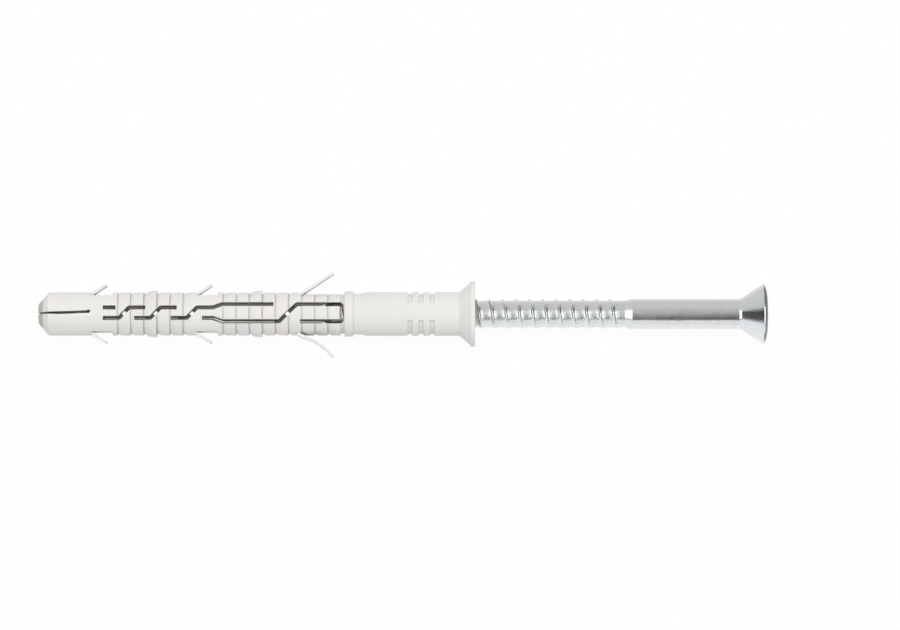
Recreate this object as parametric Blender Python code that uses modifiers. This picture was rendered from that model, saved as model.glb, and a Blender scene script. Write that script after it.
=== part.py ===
"""A frame fixing: a one-piece nylon plug with a countersunk zinc-plated screw set part-way into it.

Metres, +Z up. The fixing lies on its side, its long axis along X and the screw's head toward +X. Every piece
is modelled about the plug's axis, with x = 0 on the collar's outer face, and an empty carries them to where
they rest: the origin is then under the middle of the fixing, on the surface that it lies on.
"""

from math import asin, ceil, cos, pi, radians, sin, tan

import bmesh
import bpy
from mathutils import Matrix

# Plug. Its sleeve's wall and the screw's clearance in the bore give the screw's diameter.
PLUG_LENGTH = 0.100
PLUG_DIAMETER = 0.010
SLEEVE_WALL = 0.00125
SCREW_CLEARANCE = 0.0003

# Screw
SCREW_LENGTH = 0.105
SCREW_SET_DEPTH = 0.038
SHANK_LENGTH = 0.031
SHANK_SHOULDER = 0.0005
THREAD_PITCH = 0.00308
THREAD_HEIGHT = 0.0004
THREAD_FOOT_WIDTH = 0.0008
THREAD_LEAD_IN = 0.00116
THREAD_RUN_OUT = 0.0016
POINT_LENGTH = 0.006
HEAD_DIAMETER = 0.0137
HEAD_HALF_ANGLE = radians(33)
HEAD_FILLET_RADIUS = 0.0015
HEAD_EDGE_RADIUS = 0.0005
HEAD_CROWN_HEIGHT = 0.00045
HEAD_FLAT_DIAMETER = 0.0092
DRIVE_POINT_DIAMETER = 0.0068
DRIVE_VALLEY_DIAMETER = 0.0049
DRIVE_DEPTH = 0.0034
DRIVE_CONE_DEPTH = 0.0012

# Collar, which takes the screw's head in a countersink
SEAT_INSET = 0.00025
COLLAR_LIP = 0.0009
COLLAR_RIM_HEIGHT = 0.00105
COLLAR_RIM_STEP = 0.0003
COLLAR_CONE_HALF_ANGLE = radians(40.8)

# Sleeve, which lies in the fixed frame, with its gripping grooves, neck and stop ring
GROOVE_COUNT = 3
GROOVE_PITCH = 0.00253
GROOVE_WIDTH = 0.00105
GROOVE_DEPTH = 0.0003
GROOVES_FROM_COLLAR = 0.0093
PANEL_EDGE_ABOVE = 0.0023
PANEL_EDGE_BELOW = 0.0017
SLEEVE_RAMP_LENGTH = 0.0006
NECK_LENGTH = 0.0022
NECK_DEPTH = 0.0003
STOP_RING_LENGTH = 0.002
STOP_RING_RISE = 0.0002

# Nose and ribs, which spread in the wall. The ribs are in two rows, each after a recess and a pair of barbs.
NOSE_LENGTH = 0.017
NOSE_CONE_LENGTH = 0.0023
NOSE_CONE_DEPTH = 0.0025
NOSE_SLIT_WIDTH = 0.0008
NOSE_SLIT_END_WIDTH = 0.0007
NOSE_SLIT_END_HEIGHT = 0.0014
RIB_PITCH = 0.003
RIB_INSET = 0.00005
RIB_HEIGHT = 0.00045
RIB_FIRST_LENGTH = 0.0011
NOSE_RIB_COUNT = 7
MIDDLE_RIB_COUNT = 10
TALL_RIB = 3
TALL_RIB_RISE = 0.0005
LAST_RIB_GAP = 0.0009

# Slots. Each has a leg below the axis, a rise across it and a leg above it, along the edges of the bore.
SLOT_WIDTH = 0.0009
SLOT_FLOOR = 0.0005
SLOT_LEG = 0.0037
SLOT_RISE = 0.0023
SLOT_PITCH = 0.0072
SLOT_IN_RECESS = 0.0021
FIRST_UPPER_SLOT = 0.0029
LOWER_SLOT_LEAD = 0.0025
LONG_UPPER_SLOT = 0.0118
LONG_LOWER_SLOT = 0.0131
LONG_SLOT_RISE = 0.004
TONGUE_LENGTH = 0.0095
TONGUE_TO_RING = 0.0006

# Barbs, which spring out of the recesses, and the longer pair before the stop ring
BARB_ANGLE = radians(33)
BARB_THICKNESS = 0.00065
BARB_TIP_THICKNESS = 0.0005
BARB_ROOT = 0.001
BARB_LIFT = 0.00015
SHORT_BARB_LENGTH = 0.0043
SHORT_BARB_WIDTH = 0.004
SHORT_RECESS_LENGTH = 0.005
SHORT_RECESS_DEPTH = 0.00085
LONG_BARB_LENGTH = 0.0087
LONG_BARB_WIDTH = 0.0046
LONG_RECESS_LENGTH = 0.0099
LONG_RECESS_DEPTH = 0.0006

# Bore past the screw's point, where it narrows in two steps
WIDE_BORE_DIAMETER = 0.0039
NARROW_BORE_DIAMETER = 0.0024
BORE_STEP_LENGTH = 0.002

# Smoothness. Two more turned steps than a multiple of four put a facet, not an edge, on the resting surface.
TURNED_STEPS = 38
THREAD_STEPS = 20
LOBE_STEPS = 6
ROUND_STEPS = 3
SMOOTH_UNDER = radians(30)
FLAT_UNDER = radians(0.02)
MERGE_DISTANCE = 1e-7

# Radii, worked out from the sizes
SLEEVE_RADIUS = PLUG_DIAMETER / 2
RIB_CREST = SLEEVE_RADIUS - RIB_INSET
RIB_FOOT = RIB_CREST - RIB_HEIGHT
TALL_RIB_CREST = RIB_CREST + TALL_RIB_RISE
BORE_RADIUS = SLEEVE_RADIUS - SLEEVE_WALL
SCREW_RADIUS = BORE_RADIUS - SCREW_CLEARANCE
CORE_RADIUS = SCREW_RADIUS - THREAD_HEIGHT
HEAD_RADIUS = HEAD_DIAMETER / 2
SEAT_RADIUS = HEAD_RADIUS - SEAT_INSET
COLLAR_RADIUS = SEAT_RADIUS + COLLAR_LIP
WIDE_BORE_RADIUS = WIDE_BORE_DIAMETER / 2
NARROW_BORE_RADIUS = NARROW_BORE_DIAMETER / 2
SHORT_BARB_FLAT = SLEEVE_RADIUS - SHORT_RECESS_DEPTH
LONG_BARB_FLAT = SLEEVE_RADIUS - LONG_RECESS_DEPTH

# Places along the axis, worked out from the sizes, from the nose to the head
NOSE_END_X = -PLUG_LENGTH
RIBS_X = NOSE_END_X + NOSE_LENGTH
NOSE_BARB_X = RIBS_X - SHORT_RECESS_LENGTH
MIDDLE_BARB_X = RIBS_X + RIB_FIRST_LENGTH + RIB_PITCH * (NOSE_RIB_COUNT - 1)
MIDDLE_RIBS_X = MIDDLE_BARB_X + SHORT_RECESS_LENGTH
NARROW_BORE_X = MIDDLE_RIBS_X - BORE_STEP_LENGTH / 2
WIDE_BORE_X = MIDDLE_RIBS_X + BORE_STEP_LENGTH / 2
STOP_RING_X = MIDDLE_RIBS_X + RIB_FIRST_LENGTH + RIB_PITCH * (MIDDLE_RIB_COUNT - 1) + LAST_RIB_GAP
LONG_BARB_X = STOP_RING_X - LONG_RECESS_LENGTH
NECK_X = STOP_RING_X + STOP_RING_LENGTH
NECK_END_X = NECK_X + NECK_LENGTH
SCREW_TIP_X = -SCREW_SET_DEPTH
HEAD_FACE_X = SCREW_TIP_X + SCREW_LENGTH
SHANK_X = HEAD_FACE_X - SHANK_LENGTH

# Where the axis rests. The lower long barb stands on the ribs, so it reaches further than the upper one.
REST_X = -(NOSE_END_X + HEAD_FACE_X) / 2
REST_Y = (RIB_CREST - LONG_BARB_FLAT) / 2
REST_HEIGHT = COLLAR_RADIUS * cos(pi / TURNED_STEPS)

NYLON = {"colour": (0.80, 0.78, 0.74, 1), "roughness": 0.5, "metallic": 0.0}
ZINC = {"colour": (0.72, 0.74, 0.76, 1), "roughness": 0.3, "metallic": 1.0}


def clear_scene():
    for obj in list(bpy.data.objects):
        bpy.data.objects.remove(obj)


def add_collection(name, parent, rendered=True):
    collection = bpy.data.collections.new(name)
    collection.hide_render = not rendered
    parent.children.link(collection)
    return collection


def add_object(name, bm, collection):
    """An object from a bmesh, carried by the fixing's axis. Where nothing is rendered it is drawn as wire."""
    mesh = bpy.data.meshes.new(name)
    bm.to_mesh(mesh)
    bm.free()
    obj = bpy.data.objects.new(name, mesh)
    obj.parent = bpy.data.objects["fixing_axis"]
    collection.objects.link(obj)
    if collection.hide_render:
        obj.hide_render = True
        obj.display_type = "WIRE"
    return obj


def add_turned(name, outline, collection, closed=False):
    """A solid of revolution about X, from (x, radius) points that run toward +X on the outside.

    Its faces are split into triangles, which are truly flat, so the cuts that follow meet them cleanly."""
    bm = bmesh.new()
    points = [bm.verts.new((x, radius, 0)) for x, radius in outline]
    for first, second in zip(points, points[1:]):
        bm.edges.new((first, second))
    if closed:
        bm.edges.new((points[-1], points[0]))
    obj = add_object(name, bm, collection)
    turning = obj.modifiers.new("turning", "SCREW")
    turning.axis = "X"
    turning.steps = TURNED_STEPS
    turning.render_steps = TURNED_STEPS
    turning.use_merge_vertices = True
    turning.merge_threshold = MERGE_DISTANCE
    obj.modifiers.new("triangles", "TRIANGULATE")
    return obj


def add_block(name, low, high, collection):
    """A box between two corners."""
    size = [top - bottom for bottom, top in zip(low, high)]
    middle = [(top + bottom) / 2 for bottom, top in zip(low, high)]
    bm = bmesh.new()
    bmesh.ops.create_cube(bm, size=1, matrix=Matrix.Translation(middle) @ Matrix.Diagonal((*size, 1)))
    return add_object(name, bm, collection)


def boolean(obj, operation, collection):
    """Joins to obj, or takes from it, every object of a collection."""
    for operand in collection.objects:
        modifier = obj.modifiers.new(operand.name, "BOOLEAN")
        modifier.operation = operation
        modifier.solver = "EXACT"
        modifier.object = operand


def join_flat_faces(obj):
    """Joins what the cuts left in pieces on each flat face."""
    flats = obj.modifiers.new("flats", "DECIMATE")
    flats.decimate_type = "DISSOLVE"
    flats.angle_limit = FLAT_UNDER


def only(geometry, kind):
    """The vertices, or the faces, among what a bmesh operator made."""
    return [item for item in geometry if isinstance(item, kind)]


def rib_outline(start_x, count):
    """Saw-tooth ribs: each rises gently toward the collar and ends in a step, which grips the wall."""
    points = [(start_x, RIB_CREST - RIB_HEIGHT * RIB_FIRST_LENGTH / RIB_PITCH)]
    for rib in range(count):
        step_x = start_x + RIB_FIRST_LENGTH + rib * RIB_PITCH
        points += [(step_x, TALL_RIB_CREST if rib == TALL_RIB else RIB_CREST), (step_x, RIB_FOOT)]
    return points


def plug_outside():
    """The plug's outside, from the nose to the collar's face. The first row's last rib ends in a recess."""
    cone_radius = COLLAR_RADIUS - COLLAR_RIM_STEP
    cone_x = -COLLAR_RIM_HEIGHT - (cone_radius - SLEEVE_RADIUS) / tan(COLLAR_CONE_HALF_ANGLE)
    points = [(NOSE_END_X, RIB_CREST - NOSE_CONE_DEPTH), (NOSE_END_X + NOSE_CONE_LENGTH, RIB_CREST)]
    points += [(RIBS_X, RIB_CREST)] + rib_outline(RIBS_X, NOSE_RIB_COUNT)[:-1]
    points += [(MIDDLE_RIBS_X, RIB_CREST)] + rib_outline(MIDDLE_RIBS_X, MIDDLE_RIB_COUNT)
    points += [(STOP_RING_X, RIB_FOOT)]
    points += [(x, SLEEVE_RADIUS + STOP_RING_RISE) for x in (STOP_RING_X, NECK_X)]
    points += [(x, SLEEVE_RADIUS - NECK_DEPTH) for x in (NECK_X, NECK_END_X)]
    points += [(x, SLEEVE_RADIUS) for x in (NECK_END_X + SLEEVE_RAMP_LENGTH, cone_x)]
    points += [(-COLLAR_RIM_HEIGHT, radius) for radius in (cone_radius, COLLAR_RADIUS)]
    return points + [(0, COLLAR_RADIUS)]


def plug_bore():
    """The plug's inside, from the head's seat to the nose. It narrows with the screw's point."""
    seat_depth = (SEAT_RADIUS - BORE_RADIUS) / tan(HEAD_HALF_ANGLE)
    point_share = (WIDE_BORE_RADIUS - SCREW_CLEARANCE) / SCREW_RADIUS
    return [
        (0, SEAT_RADIUS),
        (-seat_depth, BORE_RADIUS),
        (SCREW_TIP_X + POINT_LENGTH, BORE_RADIUS),
        (SCREW_TIP_X + POINT_LENGTH * point_share, WIDE_BORE_RADIUS),
        (WIDE_BORE_X, WIDE_BORE_RADIUS),
        (NARROW_BORE_X, NARROW_BORE_RADIUS),
        (NOSE_END_X, NARROW_BORE_RADIUS),
    ]


def cut_recesses(plug, cutters):
    """The flats under the barbs, above and below the axis. The lower long barb has none."""
    collection = add_collection("recesses", cutters, rendered=False)
    reach = PLUG_DIAMETER
    stations = [(NOSE_BARB_X, SHORT_RECESS_LENGTH, SHORT_BARB_FLAT, 1),
                (NOSE_BARB_X, SHORT_RECESS_LENGTH, SHORT_BARB_FLAT, -1),
                (MIDDLE_BARB_X, SHORT_RECESS_LENGTH, SHORT_BARB_FLAT, 1),
                (MIDDLE_BARB_X, SHORT_RECESS_LENGTH, SHORT_BARB_FLAT, -1),
                (LONG_BARB_X, LONG_RECESS_LENGTH, LONG_BARB_FLAT, 1)]
    for index, (x, length, flat, side) in enumerate(stations):
        near, far = sorted((side * flat, side * reach))
        add_block(f"recess_{index}", (x, near, -reach), (x + length, far, reach), collection)
    boolean(plug, "DIFFERENCE", collection)


def add_barb(name, foot, side, size, collection):
    """A flat flap, thinner at its tip, that leans toward the collar. Its root is inside the plug's wall."""
    x, height = foot
    length, width = size
    bm = bmesh.new()
    centre = Matrix.Translation(((length - BARB_ROOT) / 2, 0, 0))
    stretch = Matrix.Diagonal((length + BARB_ROOT, BARB_THICKNESS, width, 1))
    bmesh.ops.create_cube(bm, size=1, matrix=centre @ stretch)
    for vertex in bm.verts:
        if vertex.co.x > 0:
            vertex.co.y *= BARB_TIP_THICKNESS / BARB_THICKNESS
    hinge = Matrix.Translation((x, side * (height + BARB_LIFT), 0))
    bm.transform(hinge @ Matrix.Rotation(side * BARB_ANGLE, 4, "Z"))
    add_object(name, bm, collection)


def join_barbs(plug, cutters):
    collection = add_collection("barbs", cutters, rendered=False)
    for side, long_height in ((1, LONG_BARB_FLAT), (-1, RIB_CREST)):
        for x in (NOSE_BARB_X, MIDDLE_BARB_X):
            size = (SHORT_BARB_LENGTH, SHORT_BARB_WIDTH)
            add_barb("short_barb", (x, SHORT_BARB_FLAT), side, size, collection)
        size = (LONG_BARB_LENGTH, LONG_BARB_WIDTH)
        add_barb("long_barb", (LONG_BARB_X, long_height), side, size, collection)
    boolean(plug, "UNION", collection)


def cut_grooves(plug, cutters):
    """The sleeve's grooves run round its top and bottom and stop at plain panels on its front and back."""
    collection = add_collection("grooves", cutters, rendered=False)
    start = asin(PANEL_EDGE_ABOVE / SLEEVE_RADIUS)
    sweep = pi - asin(PANEL_EDGE_BELOW / SLEEVE_RADIUS) - start
    steps = round(sweep / (2 * pi) * TURNED_STEPS)
    inner = SLEEVE_RADIUS - GROOVE_DEPTH
    outer = SLEEVE_RADIUS + GROOVE_DEPTH
    for groove in range(GROOVE_COUNT):
        high_x = -GROOVES_FROM_COLLAR - groove * GROOVE_PITCH
        low_x = high_x - GROOVE_WIDTH
        for turn in (start, start + pi):
            bm = bmesh.new()
            corners = [(low_x, inner), (high_x, inner), (high_x, outer), (low_x, outer)]
            section = bm.faces.new([bm.verts.new((x, r * sin(turn), r * cos(turn))) for x, r in corners])
            bmesh.ops.spin(bm, geom=[section], axis=(-1, 0, 0), angle=sweep, steps=steps)
            bmesh.ops.recalc_face_normals(bm, faces=bm.faces)
            add_object("groove", bm, collection)
    boolean(plug, "DIFFERENCE", collection)


def slot_paths():
    """The slots' centre lines on the front of the plug, as (x, y). The last leaves a tongue between legs."""
    low, high = -NARROW_BORE_RADIUS, NARROW_BORE_RADIUS
    wide_low, wide_high = -WIDE_BORE_RADIUS, WIDE_BORE_RADIUS
    first_x = RIBS_X - SLOT_IN_RECESS
    paths = [[(first_x, high), (first_x + FIRST_UPPER_SLOT, high)]]
    for x in (first_x, first_x + SLOT_PITCH, NARROW_BORE_X - 2 * SLOT_LEG - SLOT_RISE):
        rise_x = x + SLOT_LEG
        high_x = rise_x + SLOT_RISE
        paths.append([(x, low), (rise_x, low), (high_x, high), (high_x + SLOT_LEG, high)])
    paths[-1] += [(WIDE_BORE_X, wide_high), (WIDE_BORE_X + LONG_UPPER_SLOT, wide_high)]
    rise_x = WIDE_BORE_X + LONG_LOWER_SLOT
    end_x = STOP_RING_X - TONGUE_TO_RING
    paths.append([(NARROW_BORE_X - LOWER_SLOT_LEAD, low), (NARROW_BORE_X, low), (WIDE_BORE_X, wide_low),
                  (rise_x, wide_low), (rise_x + LONG_SLOT_RISE, wide_high), (end_x, wide_high),
                  (end_x, wide_low), (end_x - TONGUE_LENGTH, wide_low)])
    return paths


def cut_slots(plug, cutters):
    """Each slot is cut by a ribbon along its centre line, thickened to the slot's width. The back of the plug
    has the front's slots turned half way round the axis."""
    collection = add_collection("slots", cutters, rendered=False)
    for path in slot_paths():
        for side in (1, -1):
            bm = bmesh.new()
            points = [bm.verts.new((x, side * y, side * SLOT_FLOOR)) for x, y in path]
            line = [bm.edges.new(pair) for pair in zip(points, points[1:])]
            raised = only(bmesh.ops.extrude_edge_only(bm, edges=line)["geom"], bmesh.types.BMVert)
            bmesh.ops.translate(bm, verts=raised, vec=(0, 0, side * PLUG_DIAMETER))
            ribbon = add_object("slot", bm, collection)
            width = ribbon.modifiers.new("width", "SOLIDIFY")
            width.thickness = SLOT_WIDTH
            width.offset = 0
            width.use_even_offset = True
    boolean(plug, "DIFFERENCE", collection)


def cut_nose_slit(plug, cutters):
    """The slit that lets the nose close, right through the plug, and the cross cut where it ends."""
    collection = add_collection("nose_slit", cutters, rendered=False)
    reach = PLUG_DIAMETER
    sizes = ((PLUG_LENGTH, NOSE_SLIT_WIDTH), (NOSE_SLIT_END_WIDTH, NOSE_SLIT_END_HEIGHT))
    for length, height in sizes:
        low = (NOSE_BARB_X - length, -height / 2, -reach)
        add_block("slit", low, (NOSE_BARB_X, height / 2, reach), collection)
    boolean(plug, "DIFFERENCE", collection)


def make_plug(parts, cutters):
    plug = add_turned("plug", plug_outside() + plug_bore(), parts, closed=True)
    cut_recesses(plug, cutters)
    join_barbs(plug, cutters)
    cut_grooves(plug, cutters)
    cut_slots(plug, cutters)
    cut_nose_slit(plug, cutters)
    join_flat_faces(plug)
    return plug


def head_outline():
    """The plain shank and the countersunk head with its low crown, from the shank's shoulder to the face."""
    cone_top_x = HEAD_FACE_X - HEAD_CROWN_HEIGHT - HEAD_EDGE_RADIUS
    cone_foot_x = cone_top_x - (HEAD_RADIUS - SCREW_RADIUS) / tan(HEAD_HALF_ANGLE)
    fillet_x = cone_foot_x - HEAD_FILLET_RADIUS * tan(HEAD_HALF_ANGLE / 2)
    shoulder_x = SHANK_X - SHANK_SHOULDER
    shoulder_foot = CORE_RADIUS + THREAD_HEIGHT / 4
    points = [(shoulder_x, 0), (shoulder_x, shoulder_foot), (SHANK_X, SCREW_RADIUS)]
    for step in range(ROUND_STEPS + 1):
        turn = HEAD_HALF_ANGLE * step / ROUND_STEPS
        points.append((fillet_x + HEAD_FILLET_RADIUS * sin(turn),
                       SCREW_RADIUS + HEAD_FILLET_RADIUS * (1 - cos(turn))))
    for step in range(ROUND_STEPS + 1):
        turn = pi / 2 * step / ROUND_STEPS
        points.append((cone_top_x + HEAD_EDGE_RADIUS * sin(turn),
                       HEAD_RADIUS - HEAD_EDGE_RADIUS * (1 - cos(turn))))
    return points + [(HEAD_FACE_X, HEAD_FLAT_DIAMETER / 2), (HEAD_FACE_X, 0)]


def add_threaded_shaft(collection):
    """The threaded part and its point: a grid whose rows climb one pitch a turn, wrapped round the axis.

    Each turn has three rows, for the thread's two feet and its sharp crest. A row that would pass an end is
    held there and merges with its neighbours, so the point closes and the other end is a plain ring."""
    end_x = SHANK_X + SHANK_SHOULDER
    run_out_x = SHANK_X - SHANK_SHOULDER
    turns_before_tip = 2
    turns = ceil((end_x - SCREW_TIP_X) / THREAD_PITCH) + turns_before_tip + 1
    rows = 3 * turns
    bm = bmesh.new()
    bmesh.ops.create_grid(bm, x_segments=rows, y_segments=THREAD_STEPS, size=1)
    for vertex in bm.verts:
        turn, place = divmod(round((vertex.co.x + 1) / 2 * rows), 3)
        round_share = (vertex.co.y + 1) / 2
        climb = THREAD_PITCH * (turn - turns_before_tip + round_share)
        x = SCREW_TIP_X + THREAD_LEAD_IN + climb + (place - 1) * THREAD_FOOT_WIDTH / 2
        x = min(max(x, SCREW_TIP_X), end_x)
        point = min((x - SCREW_TIP_X) / POINT_LENGTH, 1)
        run_out = min(max((run_out_x - x) / THREAD_RUN_OUT, 0), 1)
        radius = CORE_RADIUS * point
        if place == 1:
            radius += THREAD_HEIGHT * min(point, run_out)
        angle = 2 * pi * round_share
        vertex.co = (x, radius * cos(angle), radius * sin(angle))
    bmesh.ops.remove_doubles(bm, verts=bm.verts, dist=MERGE_DISTANCE)
    bmesh.ops.holes_fill(bm, edges=bm.edges)
    bmesh.ops.recalc_face_normals(bm, faces=bm.faces)
    add_object("threaded_shaft", bm, collection)


def add_drive_cutter(collection):
    """The six-lobe recess, with one lobe up and a conical bottom. It starts outside the head's face."""
    mean = (DRIVE_POINT_DIAMETER + DRIVE_VALLEY_DIAMETER) / 4
    wave = (DRIVE_POINT_DIAMETER - DRIVE_VALLEY_DIAMETER) / 4
    mouth_x = HEAD_FACE_X + DRIVE_CONE_DEPTH
    bm = bmesh.new()
    bmesh.ops.create_circle(bm, cap_ends=True, segments=6 * LOBE_STEPS, radius=1)
    for index, vertex in enumerate(bm.verts):
        angle = 2 * pi * index / len(bm.verts)
        radius = mean + wave * cos(6 * angle)
        vertex.co = (mouth_x, radius * cos(angle), radius * sin(angle))
    raised = bmesh.ops.extrude_face_region(bm, geom=bm.faces[:])["geom"]
    depth = mouth_x - HEAD_FACE_X + DRIVE_DEPTH
    bmesh.ops.translate(bm, verts=only(raised, bmesh.types.BMVert), vec=(-depth, 0, 0))
    centre = bmesh.ops.poke(bm, faces=only(raised, bmesh.types.BMFace))["verts"]
    bmesh.ops.translate(bm, verts=centre, vec=(-DRIVE_CONE_DEPTH, 0, 0))
    bmesh.ops.recalc_face_normals(bm, faces=bm.faces)
    add_object("drive_recess", bm, collection)


def make_screw(parts, cutters):
    screw = add_turned("screw", head_outline(), parts)
    shafts = add_collection("shaft", cutters, rendered=False)
    add_threaded_shaft(shafts)
    boolean(screw, "UNION", shafts)
    recesses = add_collection("drive", cutters, rendered=False)
    add_drive_cutter(recesses)
    boolean(screw, "DIFFERENCE", recesses)
    join_flat_faces(screw)
    return screw


def add_material(obj, name, finish):
    material = bpy.data.materials.new(name)
    material.use_nodes = True
    shader = material.node_tree.nodes["Principled BSDF"]
    shader.inputs["Base Color"].default_value = finish["colour"]
    shader.inputs["Roughness"].default_value = finish["roughness"]
    shader.inputs["Metallic"].default_value = finish["metallic"]
    obj.data.materials.append(material)


def smooth_by_angle():
    """A node tree that shades a mesh smooth, but keeps an edge sharp where its faces turn a good deal."""
    tree = bpy.data.node_groups.new("smooth_by_angle", "GeometryNodeTree")
    tree.interface.new_socket("Geometry", in_out="INPUT", socket_type="NodeSocketGeometry")
    tree.interface.new_socket("Geometry", in_out="OUTPUT", socket_type="NodeSocketGeometry")
    source = tree.nodes.new("NodeGroupInput")
    result = tree.nodes.new("NodeGroupOutput")
    angle = tree.nodes.new("GeometryNodeInputMeshEdgeAngle")
    flat = tree.nodes.new("FunctionNodeCompare")
    flat.operation = "LESS_THAN"
    flat.inputs["B"].default_value = SMOOTH_UNDER
    faces = tree.nodes.new("GeometryNodeSetShadeSmooth")
    edges = tree.nodes.new("GeometryNodeSetShadeSmooth")
    edges.domain = "EDGE"
    tree.links.new(source.outputs["Geometry"], faces.inputs["Geometry"])
    tree.links.new(faces.outputs["Geometry"], edges.inputs["Geometry"])
    tree.links.new(angle.outputs["Unsigned Angle"], flat.inputs["A"])
    tree.links.new(flat.outputs["Result"], edges.inputs["Shade Smooth"])
    tree.links.new(edges.outputs["Geometry"], result.inputs["Geometry"])
    return tree


def make_fixing():
    parts = add_collection("frame_fixing", bpy.context.scene.collection)
    cutters = add_collection("cutters", bpy.context.scene.collection, rendered=False)
    axis = bpy.data.objects.new("fixing_axis", None)
    axis.location = (REST_X, REST_Y, REST_HEIGHT)
    parts.objects.link(axis)
    plug = make_plug(parts, cutters)
    screw = make_screw(parts, cutters)
    add_material(plug, "nylon", NYLON)
    add_material(screw, "zinc_steel", ZINC)
    shading = smooth_by_angle()
    for piece in (plug, screw):
        piece.modifiers.new("shading", "NODES").node_group = shading


clear_scene()
make_fixing()
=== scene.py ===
"""A frame fixing on a white table: a nylon plug with a zinc-plated countersunk screw set part-way into it.

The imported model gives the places. Every piece is made about the plug's axis, with x = 0 on the collar's outer
face, and is moved to its place when its mesh is finished. Metres, +Z up, the screw's head toward +X.
"""

from math import asin, atan2, cos, pi, radians, sin, sqrt, tan

import bmesh
import bpy
from mathutils import Matrix, Vector


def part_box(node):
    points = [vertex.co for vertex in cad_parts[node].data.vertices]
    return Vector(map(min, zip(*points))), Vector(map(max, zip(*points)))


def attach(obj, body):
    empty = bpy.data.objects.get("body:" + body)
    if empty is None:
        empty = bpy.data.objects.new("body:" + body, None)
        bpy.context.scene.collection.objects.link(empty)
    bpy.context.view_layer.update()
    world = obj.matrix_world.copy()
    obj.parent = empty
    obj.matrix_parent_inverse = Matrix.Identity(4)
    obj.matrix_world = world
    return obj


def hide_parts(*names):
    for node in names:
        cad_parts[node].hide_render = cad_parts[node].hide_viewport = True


# Photograph
PHOTO_WIDTH = 900
PHOTO_SCALE = 4360  # pixels to the metre, on the fixing's axis
PHOTO_MIDDLE_X = -0.00573  # what lies in the middle of the picture, from the collar's face
PHOTO_MIDDLE_Y = -0.00022
CAMERA_ELEVATION = radians(86)
CAMERA_LENS = 0.228
CAMERA_SENSOR = 0.036

# Table and light. The light tent is what metal reflects. Its angles are in degrees from straight up, along
# the fixing or across it toward the photograph's lower edge. A mask with two angles fades between them, and
# one with four fades in between the first two and out between the last two.
TABLE_RADIUS = 3.0
TABLE_GAP = 0.00003
TABLE_COLOUR = (0.9, 0.9, 0.9, 1)
TABLE_SHADOW = 0.05
TABLE_FAR_SHADE = 0.72
TABLE_FAR_Y = (-0.01, 0.03)
TABLE_END_SHADE = 0.25
TABLE_END_X = (0.084, 0.09)
WHITE = (1, 1, 1, 1)
EVEN_LIGHT = 0.48
LAMP_PLACE = (0.05, 0.2, 1.15)
LAMP_SIZE = 0.5
LAMP_POWER = 8.0
TENT_UPPER = (0.70, 0.71, 0.71, 1)
TENT_LOWER = (0.93, 0.99, 1.02, 1)
TENT_CHANGE = (30.0, 52.0)
BARS_SHADE = (1.7, 1.7, 1.68, 1)
BARS_ALONG = (44.0, 54.0)
BARS_ACROSS = (-32.0, -20.0, 40.0, 44.0)
SLIT_ALONG = (7.5, 10.5)
SLIT_SHADES = ((-50, 0.7), (-10, 0.45), (30, 0.1), (47, 0.1), (54, 0.9))
DARK_SHADE = 0.1
LINE_ALONG = (46.0, 56.0)
LINE_ACROSS = (40.0, 44.0, 49.0, 53.0)
CORNER_ALONG = (12.0, 24.0)
CORNER_ACROSS = (-40.0, -28.0)
ENDS_ALONG = (62.0, 68.0)
NOSE_END_SHADE = 0.02
NOSE_END_ALONG = (50.0, 58.0)
NOSE_END_ACROSS = (-40.0, -14.0, 50.0, 62.0)

# Finishes. Grain, patches, relief and reach are in metres.
NYLON_PALE = (0.84, 0.83, 0.805, 1)
NYLON_DEEP = (0.80, 0.79, 0.765, 1)
# Painted shade: the nylon's colour nearer the axis, standing in for the shade inside the bore and slots.
NYLON_PAINTED_INSIDE_SHADE = (0.50, 0.47, 0.43, 1)
# Painted shade: crevices found by ambient occlusion are coloured darker, standing in for the shade in grooves,
# steps and slots.
NYLON_PAINTED_CREVICE_SHADE = (0.56, 0.54, 0.51, 1)
PAINTED_CREVICE_SHADE_REACH = 0.0007
PAINTED_CREVICE_SHADE_OPENNESS = (0.25, 0.95)
NYLON_GRAIN = 0.00022
NYLON_PATCH = 0.009
NYLON_SPECK_LEVEL = 0.62
NYLON_RELIEF = 0.000008
PARTING_EDGE = (0.00002, 0.00007)
PARTING_HEIGHT = 3.0
ZINC_PALE = (0.82, 0.83, 0.83, 1)
ZINC_DEEP = (0.74, 0.76, 0.77, 1)
ZINC_SPECK = (0.45, 0.46, 0.45, 1)
ZINC_SPECK_SHARE = 0.35
ZINC_SPECK_LEVEL = 0.6
ZINC_GRAIN = 0.00035
ZINC_PATCH = 0.004
ZINC_PATCH_ROUGHNESS = 0.12
SHANK_ROUGHNESS = 0.11
SHANK_RELIEF = 0.000024
THREAD_ROUGHNESS = 0.16
THREAD_RELIEF = 0.00005
FACE_PALE = (0.84, 0.85, 0.85, 1)
FACE_PATCH = 0.003
FACE_ROUGHNESS = 0.24
FACE_RELIEF = 0.000008
FACE_RINGS = 9000.0  # to the metre, from the axis outward
SOFT_EDGE_RADIUS = 0.00005
CRISP_EDGE_RADIUS = 0.00003

# Plug: collar, sleeve, neck and stop ring
SLEEVE_RADIUS = 0.005
SEAT_RADIUS = 0.0066
BORE_RADIUS = 0.00375
COLLAR_LIP = 0.0009
COLLAR_RIM_HEIGHT = 0.00105
COLLAR_RIM_STEP = 0.0003
COLLAR_CONE_HALF_ANGLE = radians(40.8)
GROOVE_COUNT = 3
GROOVE_PITCH = 0.00253
GROOVE_WIDTH = 0.00105
GROOVE_DEPTH = 0.0004
GROOVES_FROM_COLLAR = 0.0093
PANEL_EDGE_ABOVE = 0.0023
PANEL_EDGE_BELOW = 0.0017
SLEEVE_RAMP_LENGTH = 0.0006
NECK_LENGTH = 0.0022
NECK_DEPTH = 0.0003
STOP_RING_LENGTH = 0.002
STOP_RING_RISE = 0.0002
RING_EDGE_RADIUS = 0.00015

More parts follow.
